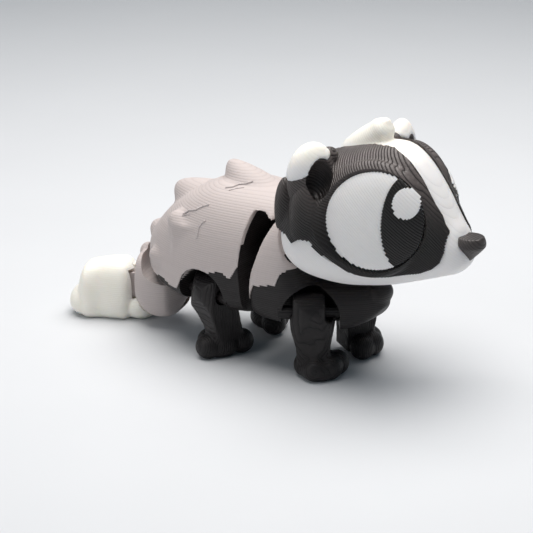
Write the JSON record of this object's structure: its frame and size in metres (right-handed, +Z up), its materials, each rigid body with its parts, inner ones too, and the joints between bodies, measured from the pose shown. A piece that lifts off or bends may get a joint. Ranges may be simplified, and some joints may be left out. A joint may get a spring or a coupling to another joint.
{
  "type": "3d-printed jointed toy badger",
  "caption": "Small printed plastic toy badger with round eyes, striped head, grey spiky back, and hinged head, waist, tail and legs.",
  "frame": {"origin": "on the floor under the middle of the toy's box", "axes": "+X towards the nose, +Y to the badger's left, +Z up"},
  "size_m": [0.046, 0.0172, 0.0254],
  "materials": {
    "white_plastic": "white printed plastic with fine layer lines",
    "grey_plastic": "warm grey printed plastic with fine layer lines",
    "ivory_plastic": "ivory printed plastic with fine layer lines",
    "black_plastic": "black printed plastic with a slight sheen and fine layer lines"
  },
  "bodies": {
    "front_body": {"front_mantle": "grey_plastic", "front_chest": "black_plastic", "neck_pin": "black_plastic", "front_axle_R": "black_plastic", "front_axle_L": "black_plastic"},
    "head": {"head_core": "white_plastic", "head_mask_R": "black_plastic", "head_mask_L": "black_plastic", "eye_R": "white_plastic", "eye_L": "white_plastic", "pupil_R": "black_plastic", "pupil_L": "black_plastic", "glint_R": "white_plastic", "glint_L": "white_plastic", "ear_R": "black_plastic", "ear_L": "black_plastic", "ear_rim_R": "white_plastic", "ear_rim_L": "white_plastic", "nose": "black_plastic"},
    "rear_body": {"rear_shell": "grey_plastic", "rear_belly": "black_plastic", "waist_pin": "black_plastic", "rear_axle_R": "black_plastic", "rear_axle_L": "black_plastic"},
    "tail_base": {"tail_base": "grey_plastic", "tail_pin": "grey_plastic"},
    "tail_tip": {"tail_tip": "ivory_plastic", "tip_pin": "ivory_plastic"},
    "front_leg_right": {"front_leg_R": "black_plastic"},
    "front_leg_left": {"front_leg_L": "black_plastic"},
    "rear_leg_right": {"rear_leg_R": "black_plastic"},
    "rear_leg_left": {"rear_leg_L": "black_plastic"}
  },
  "joints": [
    {"name": "neck_yaw", "type": "hinge", "parent": "front_body", "child": "head", "pos_m": [0.00575, 0.00016, 0.012], "axis": [0, 0, 1], "range_deg": [-9, 9]},
    {"name": "waist_yaw", "type": "hinge", "parent": "front_body", "child": "rear_body", "pos_m": [-0.00205, 0.00016, 0.0108], "axis": [0, 0, 1], "range_deg": [-16, 1]},
    {"name": "tail_yaw", "type": "hinge", "parent": "rear_body", "child": "tail_base", "pos_m": [-0.01255, 0.00016, 0.004], "axis": [0, 0, 1], "range_deg": [-20, 20]},
    {"name": "tip_yaw", "type": "hinge", "parent": "tail_base", "child": "tail_tip", "pos_m": [-0.01673, -0.00084, 0.0036], "axis": [0, 0, 1], "range_deg": [-20, 20]},
    {"name": "front_leg_right_splay", "type": "hinge", "parent": "front_body", "child": "front_leg_right", "pos_m": [0.00655, -0.00394, 0.0064], "axis": [0.8192, 0.5736, 0], "range_deg": [-48, 0]},
    {"name": "front_leg_left_splay", "type": "hinge", "parent": "front_body", "child": "front_leg_left", "pos_m": [0.00655, 0.00426, 0.0064], "axis": [0.8192, -0.5736, 0], "range_deg": [0, 48]},
    {"name": "rear_leg_right_splay", "type": "hinge", "parent": "rear_body", "child": "rear_leg_right", "pos_m": [-0.00415, -0.00494, 0.0064], "axis": [0.9659, -0.2588, 0], "range_deg": [-60, 0]},
    {"name": "rear_leg_left_splay", "type": "hinge", "parent": "rear_body", "child": "rear_leg_left", "pos_m": [-0.00415, 0.00526, 0.0064], "axis": [0.9659, 0.2588, 0], "range_deg": [0, 60]}
  ]
}
